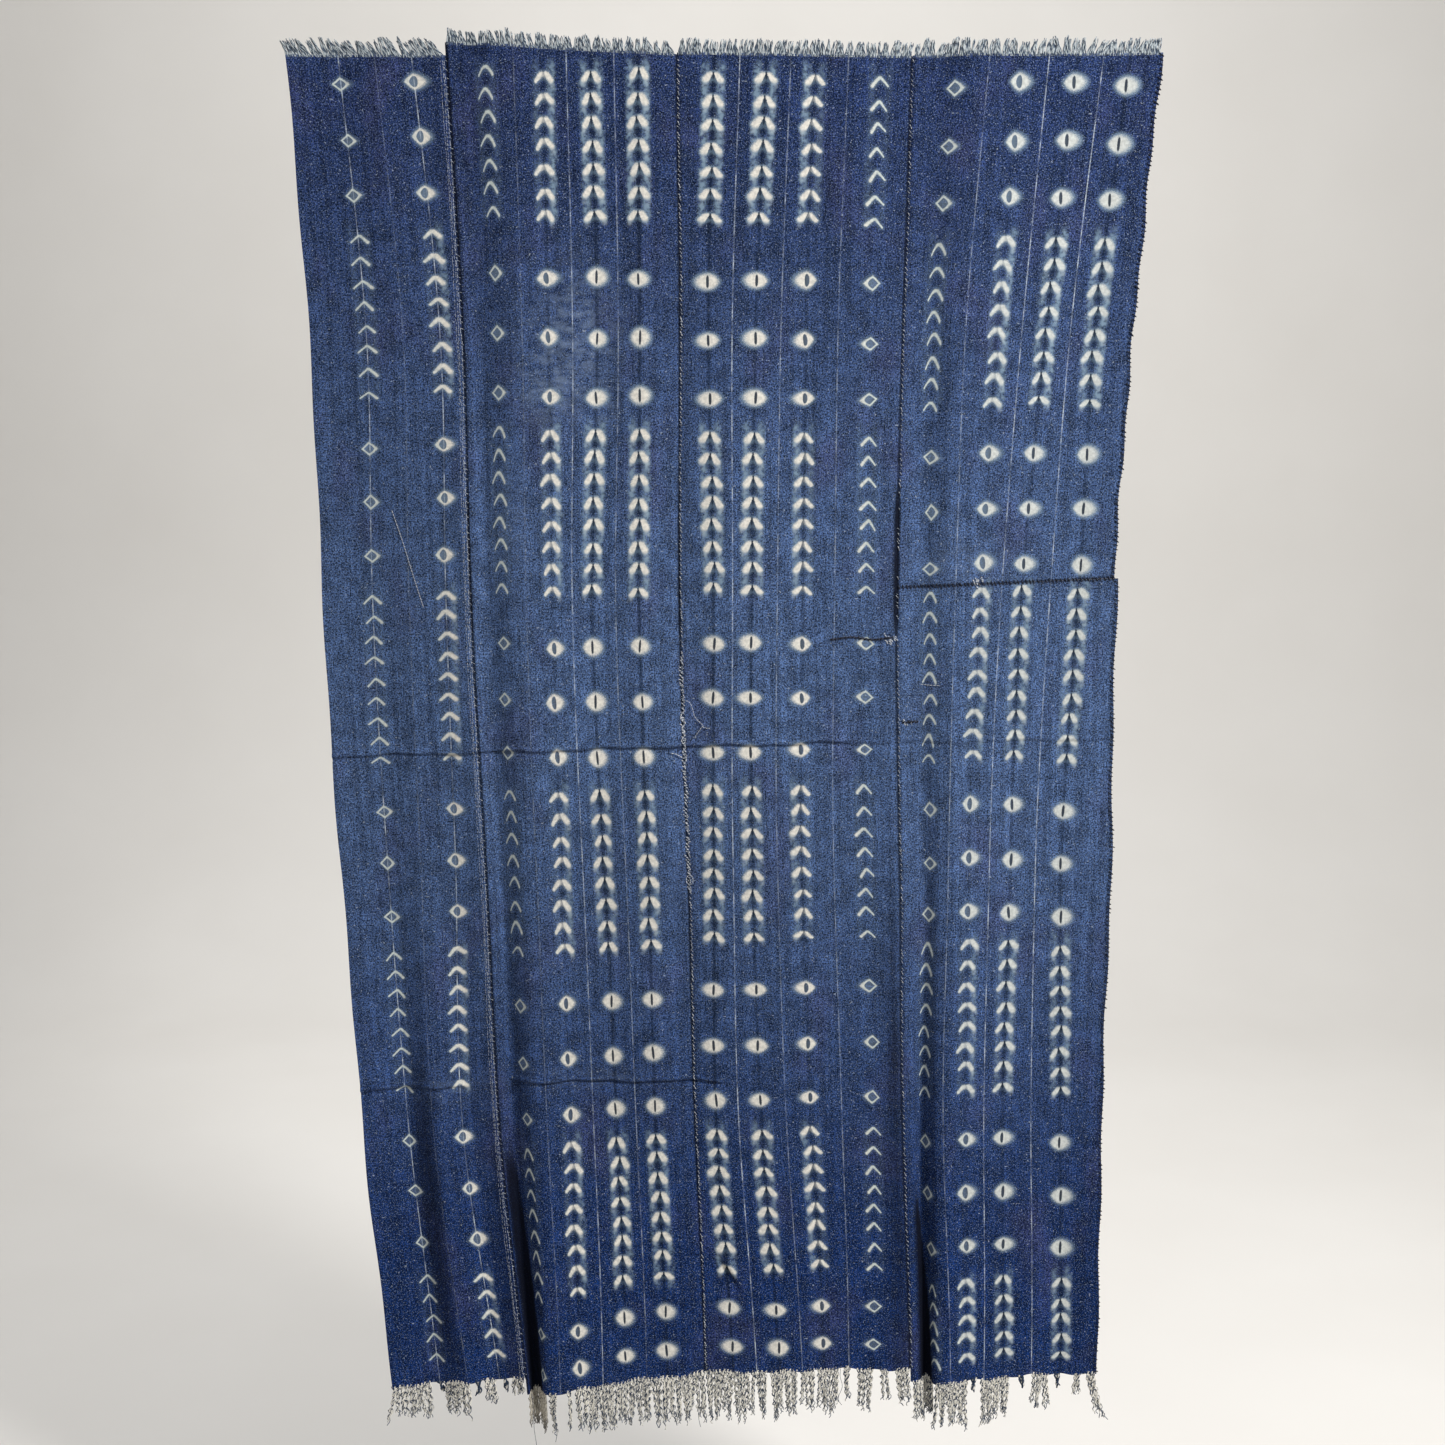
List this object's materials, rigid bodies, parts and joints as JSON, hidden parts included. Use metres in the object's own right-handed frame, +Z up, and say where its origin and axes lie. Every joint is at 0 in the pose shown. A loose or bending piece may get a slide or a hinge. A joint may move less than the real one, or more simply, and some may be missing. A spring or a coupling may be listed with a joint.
{
  "type": "hanging indigo resist-dyed strip cloth",
  "caption": "Hand-woven cotton strips sewn side by side, dyed in indigo with pale stitched eyes and chevrons, hung from the top edge, with fringed ends.",
  "frame": {"origin": "middle of the top edge, in the sheet, where the hanging is held", "axes": "+Z up, +X to the right along the top edge seen from the front, +Y from the cloth towards the wall behind it"},
  "size_m": [1.0516, 0.0377, 1.7644],
  "materials": {
    "indigo_cloth": "matt hand-woven cotton, indigo-dyed, with pale resist marks",
    "marled_yarn": "matt twisted cotton yarn, off-white and indigo",
    "frayed_yarn": "matt frayed cotton ends, grey-blue"
  },
  "bodies": {
    "root": {"strip_1": "indigo_cloth", "strip_2": "indigo_cloth", "strip_3": "indigo_cloth", "strip_4_upper": "indigo_cloth", "strip_4_lower": "indigo_cloth", "top_fringe_1": "frayed_yarn", "top_fringe_2": "frayed_yarn", "top_fringe_3": "frayed_yarn", "top_fringe_4": "frayed_yarn", "hem_fringe_1": "marled_yarn", "hem_fringe_2": "marled_yarn", "hem_fringe_3": "marled_yarn", "hem_fringe_4": "marled_yarn"}
  },
  "joints": []
}
